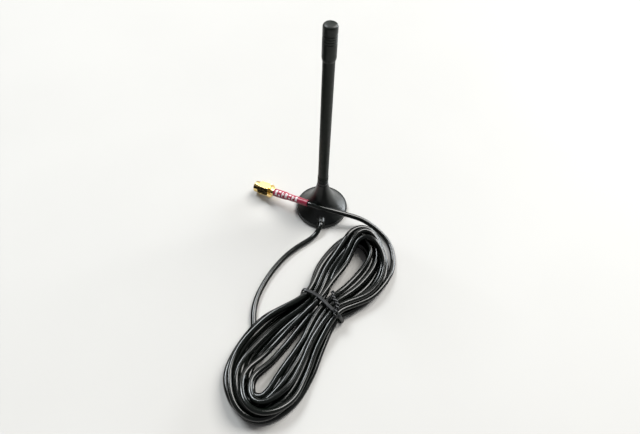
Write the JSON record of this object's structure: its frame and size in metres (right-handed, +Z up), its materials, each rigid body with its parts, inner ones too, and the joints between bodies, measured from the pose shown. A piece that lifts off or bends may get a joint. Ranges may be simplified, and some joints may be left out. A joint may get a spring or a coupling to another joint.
{
  "type": "omnidirectional antenna",
  "caption": "Short whip antenna on a flared magnetic base, with a thin coaxial lead tied in a hank and a screw-on coaxial plug with a coloured sleeve.",
  "frame": {"origin": "centre of the base's underside, on the table", "axes": "+Z up along the whip, -Y the way the cable leaves the base"},
  "size_m": [0.0875, 0.147, 0.1278],
  "materials": {
    "base_plastic": "satin",
    "whip_rubber": "matte",
    "cap_plastic": "satin",
    "cable_jacket": "gloss",
    "tie_plastic": "satin",
    "marker_red": "satin",
    "gold_plate": "polished",
    "brass": "satin",
    "steel": "satin",
    "magnet": "satin",
    "copper": "satin",
    "pad_vinyl": "matte",
    "insulator": "matte",
    "gasket_rubber": "matte"
  },
  "bodies": {
    "root": {"base_cover": "base_plastic", "base_pad": "pad_vinyl", "magnet": "magnet", "ground_plate": "steel", "mast_socket": "brass", "braid_clamp": "steel", "feed_core": "insulator", "cable_exit_run": "cable_jacket", "cable_hank": "cable_jacket", "cable_lead_run": "cable_jacket", "twist_tie": "tie_plastic", "marker_sleeve": "marker_red", "crimp_ferrule": "gold_plate", "plug_cable_core": "insulator", "plug_shell": "gold_plate", "plug_dielectric": "insulator", "plug_pin": "gold_plate", "plug_snap_ring": "brass", "plug_gasket": "gasket_rubber"},
    "thread": {"whip_stud": "brass"},
    "whip": {"whip_sleeve": "whip_rubber", "whip_cap": "cap_plastic", "radiator_coil": "copper", "rod_spacer": "insulator", "radiator_rod": "copper"},
    "nut": {"plug_nut": "gold_plate"}
  },
  "joints": [
    {"name": "whip_lift", "type": "slide", "parent": "root", "child": "thread", "axis": [0, 0, 1], "range_m": [0, 0.005]},
    {"name": "whip_turn", "type": "hinge", "parent": "thread", "child": "whip", "pos_m": [0, 0, 0.03], "axis": [0, 0, 1], "range_deg": [0, 3600]},
    {"name": "nut_spin", "type": "hinge", "parent": "root", "child": "nut", "pos_m": [-0.03449, 0.00778, 0.00548], "axis": [-0.8637, 0.4592, -0.2079], "continuous": true}
  ],
  "couplings": [
    {"joint": "whip_lift", "follows": "whip_turn", "m_per_rad": 0.000079577}
  ]
}
